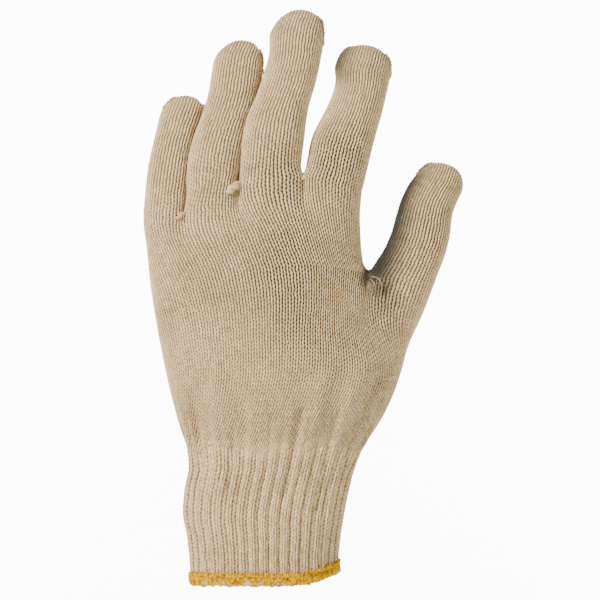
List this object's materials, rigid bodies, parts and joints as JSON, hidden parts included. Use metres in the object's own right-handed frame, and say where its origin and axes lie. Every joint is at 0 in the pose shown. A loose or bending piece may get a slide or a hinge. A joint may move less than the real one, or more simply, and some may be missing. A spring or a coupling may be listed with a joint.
{
  "type": "work glove",
  "caption": "Seamless knitted cotton string glove for the left hand, with a ribbed cuff and an overlocked yellow hem, kept in the shape it has when worn.",
  "frame": {"origin": "centre of the cuff's mouth, where the wrist goes in", "axes": "+Z from the cuff's mouth to the fingertips, +X to the thumb's side, -Y out of the back of the hand"},
  "size_m": [0.1396, 0.0442, 0.25],
  "materials": {
    "cotton_knit": "matte, fuzzy plain knit of unbleached cotton string",
    "cotton_rib": "matte ribbed knit with covered elastic",
    "hem_thread": "matte yellow overlock thread"
  },
  "bodies": {
    "root": {"little_finger": "cotton_knit", "ring_finger": "cotton_knit", "middle_finger": "cotton_knit", "index_finger": "cotton_knit", "thumb": "cotton_knit", "palm": "cotton_knit", "cuff": "cotton_rib", "hem": "hem_thread"}
  },
  "joints": []
}
